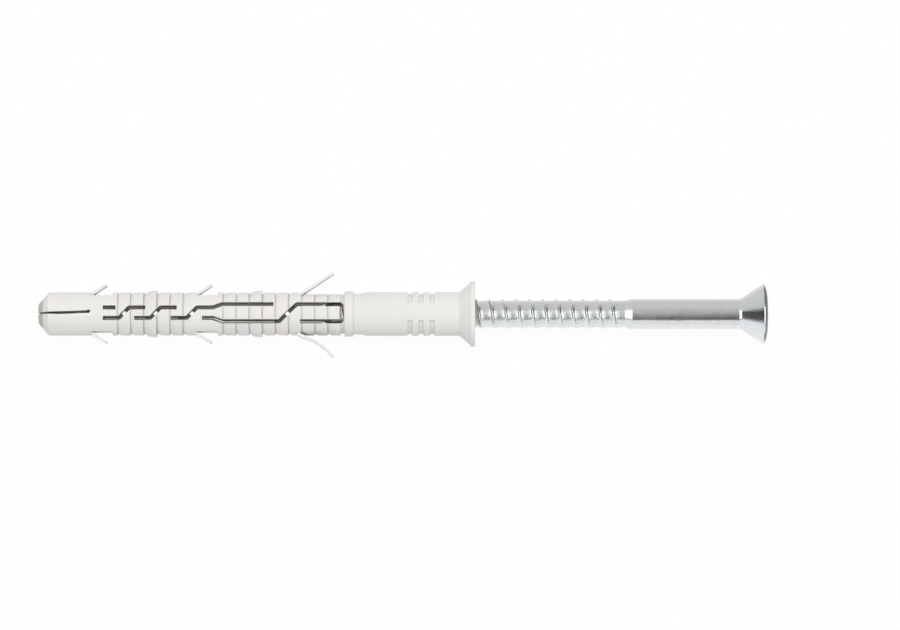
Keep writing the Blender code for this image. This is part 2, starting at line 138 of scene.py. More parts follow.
# Plug: nose and ribs
NOSE_LENGTH = 0.017
NOSE_CONE_LENGTH = 0.0023
NOSE_CONE_DEPTH = 0.0025
NOSE_EDGE_RADIUS = 0.00035
NOSE_SLIT_TIP_WIDTH = 0.0002
NOSE_SLIT_WIDTH = 0.0011
NOSE_SLIT_END_WIDTH = 0.0007
NOSE_SLIT_END_HEIGHT = 0.0014
RIB_PITCH = 0.003
RIB_INSET = 0.00005
RIB_HEIGHT = 0.00045
RIB_FIRST_LENGTH = 0.0011
RIB_SLOPE_LENGTH = 0.0009
RIB_FALL = 0.00004
NOSE_RIB_COUNT = 7
MIDDLE_RIB_COUNT = 10
TALL_RIB = 3
TALL_RIB_RISE = 0.0004
TALL_RIB_SLOPE_LENGTH = 0.0013
TALL_RIB_FALL = 0.00012
LAST_RIB_GAP = 0.0009

# Plug: slots, barbs and bore
SLOT_WIDTH = 0.00095
SLOT_FLOOR = 0.0005
SLOT_CORNER_RADIUS = 0.00052
SLOT_LEG = 0.0037
SLOT_RISE = 0.0023
SLOT_PITCH = 0.0072
SLOT_IN_RECESS = 0.0021
FIRST_UPPER_SLOT = 0.0029
LOWER_SLOT_LEAD = 0.0025
LONG_UPPER_SLOT = 0.0118
LONG_LOWER_SLOT = 0.0131
LONG_SLOT_RISE = 0.004
TONGUE_LENGTH = 0.0095
TONGUE_TO_RING = 0.0006
BARB_ANGLE = radians(33)
BARB_THICKNESS = 0.00065
BARB_TIP_THICKNESS = 0.0005
BARB_ROOT = 0.001
BARB_LIFT = 0.00015
BARB_CORNER_RADIUS = 0.0006
SHORT_BARB_LENGTH = 0.0043
SHORT_BARB_WIDTH = 0.004
SHORT_RECESS_LENGTH = 0.005
SHORT_RECESS_DEPTH = 0.00085
LONG_BARB_LENGTH = 0.0087
LONG_BARB_WIDTH = 0.0046
LONG_BARB_BOW = 0.0007
LONG_RECESS_LENGTH = 0.0099
LONG_RECESS_DEPTH = 0.0006
WIDE_BORE_RADIUS = 0.00195
NARROW_BORE_RADIUS = 0.0012
BORE_STEP_LENGTH = 0.002
SCREW_CLEARANCE = 0.0003

# Screw
SCREW_RADIUS = 0.00345
SHANK_LENGTH = 0.031
THREAD_PITCH = 0.00308
THREAD_HEIGHT = 0.0004
THREAD_FOOT_WIDTH = 0.00078
THREAD_TOP_WIDTH = 0.00018
THREAD_FOOT_SHARE = 0.2
THREAD_TOP_SHARE = 0.94
THREAD_LEAD_IN = 0.00116
THREAD_RUN_OUT = 0.0017
SHANK_CHAMFER = 0.00003
POINT_LENGTH = 0.006
HEAD_RADIUS = 0.00685
HEAD_HALF_ANGLE = radians(33)
HEAD_FILLET_RADIUS = 0.0015
HEAD_EDGE_RADIUS = 0.0005
HEAD_CROWN_HEIGHT = 0.00045
HEAD_FLAT_RADIUS = 0.0042
DRIVE_POINT_RADIUS = 0.0034
DRIVE_VALLEY_RADIUS = 0.00245
DRIVE_LOBE_RADIUS = 0.00055
DRIVE_DEPTH = 0.0034
DRIVE_CONE_DEPTH = 0.0012
DRIVE_DRAFT = 0.96

# Smoothness
TURNED_STEPS = 144
THREAD_STEPS = 64
THREAD_COLUMNS = 36
LOBE_STEPS = 8
BARB_STEPS = 8
ROUND_STEPS = 6
MERGE_DISTANCE = 1e-7
CUT_TURN = 0.0023
SMOOTH_UNDER = radians(28)

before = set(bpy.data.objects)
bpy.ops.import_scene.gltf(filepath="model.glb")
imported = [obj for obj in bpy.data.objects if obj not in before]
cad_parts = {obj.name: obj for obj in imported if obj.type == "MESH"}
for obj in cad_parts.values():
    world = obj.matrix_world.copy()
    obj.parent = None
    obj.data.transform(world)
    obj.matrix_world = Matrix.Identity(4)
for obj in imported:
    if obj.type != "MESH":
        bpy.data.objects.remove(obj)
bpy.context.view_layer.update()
plug_low, plug_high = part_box("plug")
screw_low, screw_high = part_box("screw")

# Places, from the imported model. Along the axis they are measured from the collar's face.
AXIS_PLACE = Vector((plug_high.x, (screw_low.y + screw_high.y) / 2, (screw_low.z + screw_high.z) / 2))
NOSE_END_X = plug_low.x - AXIS_PLACE.x
SCREW_TIP_X = screw_low.x - AXIS_PLACE.x
HEAD_FACE_X = screw_high.x - AXIS_PLACE.x
SHANK_X = HEAD_FACE_X - SHANK_LENGTH
RIBS_X = NOSE_END_X + NOSE_LENGTH
NOSE_BARB_X = RIBS_X - SHORT_RECESS_LENGTH
MIDDLE_BARB_X = RIBS_X + RIB_FIRST_LENGTH + RIB_PITCH * (NOSE_RIB_COUNT - 1)
MIDDLE_RIBS_X = MIDDLE_BARB_X + SHORT_RECESS_LENGTH
NARROW_BORE_X = MIDDLE_RIBS_X - BORE_STEP_LENGTH / 2
WIDE_BORE_X = MIDDLE_RIBS_X + BORE_STEP_LENGTH / 2
STOP_RING_X = MIDDLE_RIBS_X + RIB_FIRST_LENGTH + RIB_PITCH * (MIDDLE_RIB_COUNT - 1) + LAST_RIB_GAP
LONG_BARB_X = STOP_RING_X - LONG_RECESS_LENGTH
NECK_X = STOP_RING_X + STOP_RING_LENGTH
NECK_END_X = NECK_X + NECK_LENGTH
RIB_CREST = SLEEVE_RADIUS - RIB_INSET
RIB_FOOT = RIB_CREST - RIB_HEIGHT
CORE_RADIUS = SCREW_RADIUS - THREAD_HEIGHT
COLLAR_RADIUS = SEAT_RADIUS + COLLAR_LIP
SHORT_BARB_FLAT = SLEEVE_RADIUS - SHORT_RECESS_DEPTH
LONG_BARB_FLAT = SLEEVE_RADIUS - LONG_RECESS_DEPTH


# Helpers


def shown(name, mesh):
    obj = bpy.data.objects.new(name, mesh)
    bpy.context.scene.collection.objects.link(obj)
    return obj


def from_bmesh(name, bm):
    mesh = bpy.data.meshes.new(name)
    bm.to_mesh(mesh)
    bm.free()
    return shown(name, mesh)


def plain(obj):
    """The object with its modifiers applied, as a plain mesh under the same name."""
    name = obj.name
    depsgraph = bpy.context.evaluated_depsgraph_get()
    mesh = bpy.data.meshes.new_from_object(obj.evaluated_get(depsgraph), depsgraph=depsgraph)
    bpy.data.objects.remove(obj)
    return shown(name, mesh)


def outward(obj):
    """Turns the faces of a closed mesh outward, split into triangles, which are truly flat for the cuts."""
    bm = bmesh.new()
    bm.from_mesh(obj.data)
    bmesh.ops.triangulate(bm, faces=bm.faces)
    bmesh.ops.recalc_face_normals(bm, faces=bm.faces)
    bm.to_mesh(obj.data)
    bm.free()
    return obj


def turned(name, outline):
    """A solid of revolution about X, from (x, radius) points that start and end on the axis."""
    bm = bmesh.new()
    points = [bm.verts.new((x, radius, 0)) for x, radius in outline]
    for first, second in zip(points, points[1:]):
        bm.edges.new((first, second))
    obj = from_bmesh(name, bm)
    turning = obj.modifiers.new("turning", "SCREW")
    turning.axis = "X"
    turning.steps = TURNED_STEPS
    turning.render_steps = TURNED_STEPS
    turning.use_merge_vertices = True
    turning.merge_threshold = MERGE_DISTANCE
    return outward(plain(obj))


def block(name, corners):
    """One object of several boxes, each between two corners."""
    bm = bmesh.new()
    for low, high in corners:
        low, high = Vector(low), Vector(high)
        place = Matrix.Translation((low + high) / 2) @ Matrix.Diagonal((*(high - low), 1))
        bmesh.ops.create_cube(bm, size=1, matrix=place)
    return from_bmesh(name, bm)


def worked(obj, steps):
    """Joins and cuts obj with other pieces, which are used up. They are turned by a hair first, so that no
    edge of theirs lies along an edge of obj."""
    for operation, operand in steps:
        operand.data.transform(Matrix.Rotation(CUT_TURN, 4, "X"))
        modifier = obj.modifiers.new(operand.name, "BOOLEAN")
        modifier.operation = operation
        modifier.solver = "EXACT"
        modifier.object = operand
    finished = plain(obj)
    for operation, operand in steps:
        bpy.data.objects.remove(operand)
    return finished


def arc(centre, radius, start, end, steps=ROUND_STEPS):
    """Points on an arc in the plane of an outline, as (x, radius)."""
    turns = [start + (end - start) * step / steps for step in range(steps + 1)]
    return [(centre[0] + radius * cos(turn), centre[1] + radius * sin(turn)) for turn in turns]


# Geometry node trees


class Tree:
    """A geometry node tree under construction, with named inputs for its sizes."""

    def __init__(self, name, sizes):
        self.tree = bpy.data.node_groups.new(name, "GeometryNodeTree")
        self.tree.interface.new_socket("Geometry", in_out="INPUT", socket_type="NodeSocketGeometry")
        self.tree.interface.new_socket("Geometry", in_out="OUTPUT", socket_type="NodeSocketGeometry")
        self.tree.interface.new_socket("Material", in_out="INPUT", socket_type="NodeSocketMaterial")
        for size, value in sizes.items():
            kind = "NodeSocketInt" if isinstance(value, int) else "NodeSocketFloat"
            self.tree.interface.new_socket(size, in_out="INPUT", socket_type=kind)
        self.values = sizes
        self.source = self.tree.nodes.new("NodeGroupInput")

    def size(self, name):
        return self.source.outputs[name]

    def add(self, kind, inputs=None, output=0, **settings):
        """A node with its settings and inputs; gives the output that is asked for."""
        node = self.tree.nodes.new(kind)
        for setting, value in settings.items():
            setattr(node, setting, value)
        for socket, value in (inputs or {}).items():
            target = node.inputs[socket]
            if isinstance(value, bpy.types.NodeSocket):
                self.tree.links.new(value, target)
            else:
                target.default_value = value
        return node.outputs[output]

    def math(self, operation, *values):
        return self.add("ShaderNodeMath", dict(enumerate(values)), operation=operation)

    def point(self, x, y):
        return self.add("ShaderNodeCombineXYZ", {"X": x, "Y": y})

    def join(self, *parts):
        joined = self.tree.nodes.new("GeometryNodeJoinGeometry")
        for part in parts:
            self.tree.links.new(part, joined.inputs["Geometry"])
        return joined.outputs["Geometry"]

    def finish(self, geometry):
        """Ends the tree in plain geometry with its material."""
        real = self.add("GeometryNodeRealizeInstances", {"Geometry": geometry})
        result = self.tree.nodes.new("NodeGroupOutput")
        coated = self.add("GeometryNodeSetMaterial", {"Geometry": real, "Material": self.size("Material")})
        self.tree.links.new(coated, result.inputs["Geometry"])
        return self

    def grown(self, name, material, sizes=None, mesh=None):
        """A plain mesh object that the tree makes, from a starting mesh if it needs one."""
        obj = shown(name, mesh or bpy.data.meshes.new(name))
        modifier = obj.modifiers.new(name, "NODES")
        modifier.node_group = self.tree
        values = {**self.values, **(sizes or {}), "Material": material}
        for item in self.tree.interface.items_tree:
            if item.in_out == "INPUT" and item.name in values:
                modifier[item.identifier] = values[item.name]
        return outward(plain(obj))


# Pieces of the plug


def rib_tree():
    """Ribs in a row along X, one of them taller. Each rises toward the collar, runs on and ends in a step. A
    rib's outline is given as lines between points, each (radius past the foot, place along the axis)."""
    tree = Tree("ribs", {
        "Count": 1, "Pitch": RIB_PITCH, "Tall Rib": TALL_RIB - 1, "Foot Radius": RIB_FOOT,
        "Height": RIB_HEIGHT, "Slope Length": RIB_SLOPE_LENGTH, "Fall": RIB_FALL,
        "Tall Height": RIB_HEIGHT + TALL_RIB_RISE, "Tall Slope Length": TALL_RIB_SLOPE_LENGTH,
        "Tall Fall": TALL_RIB_FALL, "Steps": TURNED_STEPS, "Merge": MERGE_DISTANCE})
    circle = tree.add("GeometryNodeCurvePrimitiveCircle",
                      {"Resolution": tree.size("Steps"), "Radius": tree.size("Foot Radius")})
    path = tree.add("GeometryNodeSetCurveNormal", {"Curve": circle}, mode="Z_UP")
    spacing = tree.add("ShaderNodeCombineXYZ", {"X": tree.size("Pitch")})
    line = tree.add("GeometryNodeMeshLine", {"Count": tree.size("Count"), "Offset": spacing})
    index = tree.add("GeometryNodeInputIndex")
    is_tall = tree.math("COMPARE", index, tree.size("Tall Rib"), 0.1)
    rows = []
    for prefix, chosen in (("", tree.math("SUBTRACT", 1.0, is_tall)), ("Tall ", is_tall)):
        height = tree.size(prefix + "Height")
        shoulder = tree.math("SUBTRACT", height, tree.size(prefix + "Fall"))
        points = [tree.point(0.0, 0.0), tree.point(shoulder, tree.size(prefix + "Slope Length")),
                  tree.point(height, tree.size("Pitch")), tree.point(0.0, tree.size("Pitch"))]
        outline = tree.join(*[tree.add("GeometryNodeCurvePrimitiveLine", {"Start": first, "End": second})
                              for first, second in zip(points, points[1:])])
        rib = tree.add("GeometryNodeCurveToMesh", {"Curve": path, "Profile Curve": outline})
        rows.append(tree.add("GeometryNodeInstanceOnPoints", {
            "Points": line, "Selection": chosen, "Instance": rib, "Rotation": (0, -pi / 2, 0)}))
    ribs = tree.add("GeometryNodeRealizeInstances", {"Geometry": tree.join(*rows)})
    return tree.finish(tree.add("GeometryNodeMergeByDistance",
                                {"Geometry": ribs, "Distance": tree.size("Merge")}))


def rib_rows(material):
    """The two rows, as open tubes. The first and last rib of the nose row, and the first of the other, belong
    to the moulding's outline, because they run into a recess."""
    tree = rib_tree()
    rows = []
    for name, start_x, count in (("nose_ribs", RIBS_X, NOSE_RIB_COUNT - 2),
                                 ("middle_ribs", MIDDLE_RIBS_X, MIDDLE_RIB_COUNT - 1)):
        row = tree.grown(name, material, {"Count": count})
        row.data.transform(Matrix.Translation((start_x + RIB_FIRST_LENGTH, 0, 0)))
        rows.append(row)
    return rows


def slot_lines():
    """The slots' centre lines on the front of the plug, as (x, y)."""
    low, high = -NARROW_BORE_RADIUS, NARROW_BORE_RADIUS
    wide_low, wide_high = -WIDE_BORE_RADIUS, WIDE_BORE_RADIUS
    first_x = RIBS_X - SLOT_IN_RECESS
    lines = [[(first_x, high), (first_x + FIRST_UPPER_SLOT, high)]]
    for x in (first_x, first_x + SLOT_PITCH, NARROW_BORE_X - 2 * SLOT_LEG - SLOT_RISE):
        rise_x = x + SLOT_LEG
        high_x = rise_x + SLOT_RISE
        lines.append([(x, low), (rise_x, low), (high_x, high), (high_x + SLOT_LEG, high)])
    lines[-1] += [(WIDE_BORE_X, wide_high), (WIDE_BORE_X + LONG_UPPER_SLOT, wide_high)]
    rise_x = WIDE_BORE_X + LONG_LOWER_SLOT
    end_x = STOP_RING_X - TONGUE_TO_RING
    lines.append([(NARROW_BORE_X - LOWER_SLOT_LEAD, low), (NARROW_BORE_X, low), (WIDE_BORE_X, wide_low),
                  (rise_x, wide_low), (rise_x + LONG_SLOT_RISE, wide_high), (end_x, wide_high),
                  (end_x, wide_low), (end_x - TONGUE_LENGTH, wide_low)])
    return lines


def slot_tree():
    """A cutter that follows each line, and a copy turned half way round the axis for the back of the plug."""
    tree = Tree("slots", {"Width": SLOT_WIDTH, "Depth": SLEEVE_RADIUS, "Floor": SLOT_FLOOR,
                          "Corner Radius": SLOT_CORNER_RADIUS})
    line = tree.add("GeometryNodeMeshToCurve", {"Mesh": tree.size("Geometry")})
    rounded = tree.add("GeometryNodeFilletCurve", {
        "Curve": line, "Count": 4, "Radius": tree.size("Corner Radius"), "Limit Radius": True}, mode="POLY")
    upright = tree.add("GeometryNodeSetCurveNormal", {"Curve": rounded}, mode="Z_UP")
    section = tree.add("GeometryNodeCurvePrimitiveQuadrilateral",
                       {"Width": tree.size("Width"), "Height": tree.size("Depth")})
    swept = tree.add("GeometryNodeCurveToMesh",
                     {"Curve": upright, "Profile Curve": section, "Fill Caps": True})
    half = tree.math("MULTIPLY", tree.size("Depth"), 0.5)
    lift = tree.add("ShaderNodeCombineXYZ", {"Z": tree.math("ADD", tree.size("Floor"), half)})
    front = tree.add("GeometryNodeTransform", {"Geometry": swept, "Translation": lift})
    back = tree.add("GeometryNodeTransform", {"Geometry": front, "Rotation": (pi, 0, 0)})
    return tree.finish(tree.join(front, back))


def slots(material):
    mesh = bpy.data.meshes.new("slot_lines")
    bm = bmesh.new()
    for line in slot_lines():
        points = [bm.verts.new((x, y, 0)) for x, y in line]
        for first, second in zip(points, points[1:]):
            bm.edges.new((first, second))
    bm.to_mesh(mesh)
    bm.free()
    return slot_tree().grown("slots", material, mesh=mesh)


def groove_tree():
    """Grooves that run round part of the sleeve, with a copy of each turned half way round the axis."""
    start = asin(PANEL_EDGE_BELOW / SLEEVE_RADIUS)
    sweep = pi - start - asin(PANEL_EDGE_ABOVE / SLEEVE_RADIUS)
    tree = Tree("grooves", {"Count": GROOVE_COUNT, "Pitch": GROOVE_PITCH, "Width": GROOVE_WIDTH,
                            "Depth": GROOVE_DEPTH, "Radius": SLEEVE_RADIUS, "Steps": TURNED_STEPS // 2,
                            "Start": start, "Sweep": sweep})
    path = tree.add("GeometryNodeCurveArc", {
        "Resolution": tree.size("Steps"), "Radius": tree.size("Radius"),
        "Start Angle": tree.size("Start"), "Sweep Angle": tree.size("Sweep")})
    upright = tree.add("GeometryNodeSetCurveNormal", {"Curve": path}, mode="Z_UP")
    section = tree.add("GeometryNodeCurvePrimitiveQuadrilateral", {
        "Width": tree.math("MULTIPLY", tree.size("Depth"), 2.0), "Height": tree.size("Width")})
    groove = tree.add("GeometryNodeCurveToMesh",
                      {"Curve": upright, "Profile Curve": section, "Fill Caps": True})
    offset = tree.add("ShaderNodeCombineXYZ", {"X": tree.math("MULTIPLY", tree.size("Pitch"), -1.0)})
    line = tree.add("GeometryNodeMeshLine", {"Count": tree.size("Count"), "Offset": offset})
    above = tree.add("GeometryNodeInstanceOnPoints",
                     {"Points": line, "Instance": groove, "Rotation": (0, pi / 2, 0)})
    below = tree.add("GeometryNodeTransform", {"Geometry": above, "Rotation": (pi, 0, 0)})
    return tree.finish(tree.join(above, below))


def grooves(material):
    obj = groove_tree().grown("grooves", material)
    obj.data.transform(Matrix.Translation((-GROOVES_FROM_COLLAR - GROOVE_WIDTH / 2, 0, 0)))
    return obj


def barb(bm, foot, side, size, bow):
    """A flat flap that leans toward the collar, thinner at its tip, with rounded corners, and a little bowed.
    Its root is inside the plug's wall."""
    x, height = foot
    length, width = size
    straight = length - BARB_CORNER_RADIUS
    stations = [-BARB_ROOT] + [straight * step / BARB_STEPS for step in range(BARB_STEPS + 1)]
    stations += [straight + BARB_CORNER_RADIUS * sin(pi / 2 * step / ROUND_STEPS)
                 for step in range(1, ROUND_STEPS + 1)]
    hinge = Matrix.Translation((x, side * (height + BARB_LIFT), 0))
    hinge = hinge @ Matrix.Rotation(side * BARB_ANGLE, 4, "Z")
    rings = []
    for along in stations:
        share = max(along, 0) / length
        thick = BARB_THICKNESS + (BARB_TIP_THICKNESS - BARB_THICKNESS) * share
        round_share = max(along - straight, 0) / BARB_CORNER_RADIUS
        wide = width - 2 * BARB_CORNER_RADIUS * (1 - sqrt(1 - min(round_share, 1) ** 2))
        lift = -side * bow * 4 * share * (1 - share)
        rings.append([bm.verts.new(hinge @ Vector((along, lift + y * thick / 2, z * wide / 2)))
                      for y, z in ((-1, -1), (-1, 1), (1, 1), (1, -1))])
    for first, second in zip(rings, rings[1:]):
        for corner in range(4):
            after = (corner + 1) % 4
            bm.faces.new((first[corner], first[after], second[after], second[corner]))
    bm.faces.new(rings[0])
    bm.faces.new(rings[-1])


def barbs():
    bm = bmesh.new()
    for side, long_height, bow in ((1, LONG_BARB_FLAT, 0), (-1, RIB_CREST, LONG_BARB_BOW)):
        for x in (NOSE_BARB_X, MIDDLE_BARB_X):
            barb(bm, (x, SHORT_BARB_FLAT), side, (SHORT_BARB_LENGTH, SHORT_BARB_WIDTH), 0)
        barb(bm, (LONG_BARB_X, long_height), side, (LONG_BARB_LENGTH, LONG_BARB_WIDTH), bow)
    return outward(from_bmesh("barbs", bm))


def flats():
    """What is cut away under the barbs. The lower long barb has no flat."""
    corners = []
    for x, length, flat, side in ((NOSE_BARB_X, SHORT_RECESS_LENGTH, SHORT_BARB_FLAT, 1),
                                  (NOSE_BARB_X, SHORT_RECESS_LENGTH, SHORT_BARB_FLAT, -1),
                                  (MIDDLE_BARB_X, SHORT_RECESS_LENGTH, SHORT_BARB_FLAT, 1),
                                  (MIDDLE_BARB_X, SHORT_RECESS_LENGTH, SHORT_BARB_FLAT, -1),
                                  (LONG_BARB_X, LONG_RECESS_LENGTH, LONG_BARB_FLAT, 1)):
        near, far = sorted((side * flat, side * 2 * SLEEVE_RADIUS))
        corners.append(((x, near, -2 * SLEEVE_RADIUS), (x + length, far, 2 * SLEEVE_RADIUS)))
    return block("flats", corners)


def nose_slit():
    """The slit that lets the nose close, narrow at the tip."""
    reach = 2 * SLEEVE_RADIUS
    start_x = NOSE_END_X - NOSE_CONE_LENGTH
    end_x = NOSE_BARB_X - NOSE_SLIT_END_WIDTH / 2
    slit = block("nose_slit", [((start_x, -0.5, -reach), (end_x, 0.5, reach))])
    for vertex in slit.data.vertices:
        vertex.co.y *= NOSE_SLIT_TIP_WIDTH if vertex.co.x < NOSE_END_X else NOSE_SLIT_WIDTH
    return slit


def nose_slit_end():
    """The short cross cut where the slit ends."""
    reach = 2 * SLEEVE_RADIUS
    height = NOSE_SLIT_END_HEIGHT / 2
    return block("nose_slit_end", [((NOSE_BARB_X - NOSE_SLIT_END_WIDTH, -height, -reach),
                                    (NOSE_BARB_X, height, reach))])


def bore():
    """The hollow inside: the head's seat, the sleeve's bore, and two narrower stretches past the point."""
    seat_depth = (SEAT_RADIUS - BORE_RADIUS) / tan(HEAD_HALF_ANGLE)
    point_share = (WIDE_BORE_RADIUS - SCREW_CLEARANCE) / SCREW_RADIUS
    return turned("bore", [
        (COLLAR_LIP, 0),
        (COLLAR_LIP, SEAT_RADIUS + COLLAR_LIP * tan(HEAD_HALF_ANGLE)),
        (-seat_depth, BORE_RADIUS),
        (SCREW_TIP_X + POINT_LENGTH, BORE_RADIUS),
        (SCREW_TIP_X + POINT_LENGTH * point_share, WIDE_BORE_RADIUS),
        (WIDE_BORE_X, WIDE_BORE_RADIUS),
        (NARROW_BORE_X, NARROW_BORE_RADIUS),
        (NOSE_END_X - NOSE_CONE_LENGTH, NARROW_BORE_RADIUS),
        (NOSE_END_X - NOSE_CONE_LENGTH, 0)])


def plug_outlines():
    """The plug's outside without ribs, slots or bore: one outline from the nose to the first row of ribs, one
    between the rows, and one from the ribs to the collar's face."""
    nose_radius = RIB_CREST - NOSE_CONE_DEPTH
    nose = [(NOSE_END_X, 0), (NOSE_END_X, nose_radius - NOSE_EDGE_RADIUS)]
    nose += arc((NOSE_END_X + NOSE_EDGE_RADIUS, nose_radius - NOSE_EDGE_RADIUS), NOSE_EDGE_RADIUS,
                pi, radians(135), 3)[1:]
    nose += [(NOSE_END_X + NOSE_CONE_LENGTH, RIB_CREST)]
    nose += [(RIBS_X + RIB_FIRST_LENGTH, radius) for radius in (RIB_CREST, RIB_FOOT)]
    last_rib_x = MIDDLE_BARB_X - RIB_PITCH
    middle = [(last_rib_x, RIB_FOOT), (last_rib_x + RIB_SLOPE_LENGTH, RIB_CREST - RIB_FALL)]
    middle += [(MIDDLE_BARB_X, RIB_CREST)]
    middle += [(MIDDLE_RIBS_X + RIB_FIRST_LENGTH, radius) for radius in (RIB_CREST, RIB_FOOT)]
    ring_radius = SLEEVE_RADIUS + STOP_RING_RISE
    sleeve = [(STOP_RING_X - LAST_RIB_GAP, RIB_FOOT), (STOP_RING_X, RIB_FOOT)]
    for x, turn in ((STOP_RING_X + RING_EDGE_RADIUS, pi), (NECK_X - RING_EDGE_RADIUS, pi / 2)):
        sleeve += arc((x, ring_radius - RING_EDGE_RADIUS), RING_EDGE_RADIUS, turn, turn - pi / 2, 3)
    sleeve += [(x, SLEEVE_RADIUS - NECK_DEPTH) for x in (NECK_X, NECK_END_X)]
    cone_radius = COLLAR_RADIUS - COLLAR_RIM_STEP
    cone_x = -COLLAR_RIM_HEIGHT - (cone_radius - SLEEVE_RADIUS) / tan(COLLAR_CONE_HALF_ANGLE)
    sleeve += [(x, SLEEVE_RADIUS) for x in (NECK_END_X + SLEEVE_RAMP_LENGTH, cone_x)]
    sleeve += [(-COLLAR_RIM_HEIGHT, cone_radius)]
    for x, turn in ((-COLLAR_RIM_HEIGHT + RING_EDGE_RADIUS, pi), (-RING_EDGE_RADIUS, pi / 2)):
        sleeve += arc((x, COLLAR_RADIUS - RING_EDGE_RADIUS), RING_EDGE_RADIUS, turn, turn - pi / 2, 3)
    return nose, middle, sleeve + [(0, 0)]


def plug_blank(material):
    """The turned stretches and the rows of ribs, joined at their rims."""
    stretches = [turned("stretch", outline) for outline in plug_outlines()] + rib_rows(material)
    bm = bmesh.new()
    for stretch in stretches:
        bm.from_mesh(stretch.data)
        bpy.data.objects.remove(stretch)
    bmesh.ops.remove_doubles(bm, verts=bm.verts, dist=MERGE_DISTANCE)
    return outward(from_bmesh("plug_moulding", bm))


def plug_moulding(material):
    steps = [("DIFFERENCE", flats()), ("UNION", barbs())]
    cuts = bore(), grooves(material), slots(material), nose_slit(), nose_slit_end()
    steps += [("DIFFERENCE", cut) for cut in cuts]
    return worked(plug_blank(material), steps)


# Pieces of the screw


def thread_tree():
    """The threaded part of the screw: a sheet whose rows climb one pitch a turn, wrapped round the axis. Its
    columns follow the thread's section from one valley over the crest to the next, and neighbouring turns
    meet in the valley. It tapers to the screw's point, and at its other end the valley rises to the shank."""
    turns = int((SHANK_X - SCREW_TIP_X) / THREAD_PITCH) + 5
    tree = Tree("thread", {
        "Turns": turns, "Rows": turns * THREAD_STEPS + 1, "Columns": THREAD_COLUMNS + 1,
        "Pitch": THREAD_PITCH, "Start": SCREW_TIP_X + THREAD_LEAD_IN - 2 * THREAD_PITCH,
        "Tip": SCREW_TIP_X, "End": SHANK_X + THREAD_HEIGHT, "Shank": SHANK_X,
        "Point Length": POINT_LENGTH, "Run Out": THREAD_RUN_OUT,
        "Valley Radius": CORE_RADIUS, "Height": THREAD_HEIGHT - SHANK_CHAMFER,
        "Merge": MERGE_DISTANCE})
    grid = tree.add("GeometryNodeMeshGrid", {
        "Size X": 1.0, "Size Y": 1.0, "Vertices X": tree.size("Rows"), "Vertices Y": tree.size("Columns")})
    place = tree.add("ShaderNodeSeparateXYZ", {"Vector": tree.add("GeometryNodeInputPosition")}).node.outputs
    along = tree.math("ADD", place["X"], 0.5)
    across = tree.math("ADD", place["Y"], 0.5)
    turned_by = tree.math("MULTIPLY", along, tree.size("Turns"))
    climb = tree.math("MULTIPLY", tree.math("ADD", turned_by, place["Y"]), tree.size("Pitch"))
    free_x = tree.math("ADD", tree.size("Start"), climb)
    x = tree.math("MINIMUM", tree.math("MAXIMUM", free_x, tree.size("Tip")), tree.size("End"))

    def share(length_start, length):
        """How far x has come along a stretch, from 0 to 1."""
        run = tree.math("DIVIDE", tree.math("SUBTRACT", x, length_start), length)
        return tree.add("ShaderNodeClamp", {"Value": run})

    point = share(tree.size("Tip"), tree.size("Point Length"))
    run_out_x = tree.math("SUBTRACT", tree.size("Shank"), tree.size("Run Out"))
    rise = share(run_out_x, tree.size("Run Out"))
    section = tree.add("ShaderNodeFloatCurve", {"Value": across})
    thread_section(section.node.mapping)
    fade = share(tree.math("SUBTRACT", run_out_x, tree.size("Pitch")), tree.size("Pitch"))
    strength = tree.math("MULTIPLY", tree.math("SUBTRACT", 1.0, tree.math("POWER", fade, 3.0)), point)
    crest = tree.math("MULTIPLY", section, strength)
    lift = tree.math("MULTIPLY", tree.math("MAXIMUM", crest, rise), tree.size("Height"))
    body = tree.math("MULTIPLY", tree.size("Valley Radius"), tree.math("POWER", point, 0.85))
    inside = tree.math("LESS_THAN", free_x, tree.size("End"))
    radius = tree.math("MULTIPLY", tree.math("ADD", body, lift), inside)
    angle = tree.math("MULTIPLY", turned_by, 2 * pi)
    y = tree.math("MULTIPLY", radius, tree.math("COSINE", angle))
    z = tree.math("MULTIPLY", radius, tree.math("SINE", angle))
    wrapped = tree.add("GeometryNodeSetPosition", {
        "Geometry": grid, "Position": tree.add("ShaderNodeCombineXYZ", {"X": x, "Y": y, "Z": z})})
    closed = tree.add("GeometryNodeMergeByDistance", {"Geometry": wrapped, "Distance": tree.size("Merge")})
    return tree.finish(closed)


def thread_section(mapping):
    """The thread's section as a share of its height: hollow valleys and a narrow crest with steep flanks."""
    foot = THREAD_FOOT_WIDTH / THREAD_PITCH / 2
    top = THREAD_TOP_WIDTH / THREAD_PITCH / 2
    curve = mapping.curves[0]
    curve.points[0].location = (0, 0)
    curve.points[1].location = (1, 0)
    for side in (-1, 1):
        for place, height in ((foot, THREAD_FOOT_SHARE), (top, THREAD_TOP_SHARE)):
            curve.points.new(0.5 + side * place, height).handle_type = "VECTOR"
        for share in (0.25, 0.5, 0.75):
            place = 0.5 + side * (0.5 - share * (0.5 - foot))
            curve.points.new(place, THREAD_FOOT_SHARE * share ** 2)
    curve.points.new(0.5, 1)
    mapping.update()


def screw_thread(material):
    return thread_tree().grown("screw_thread", material)


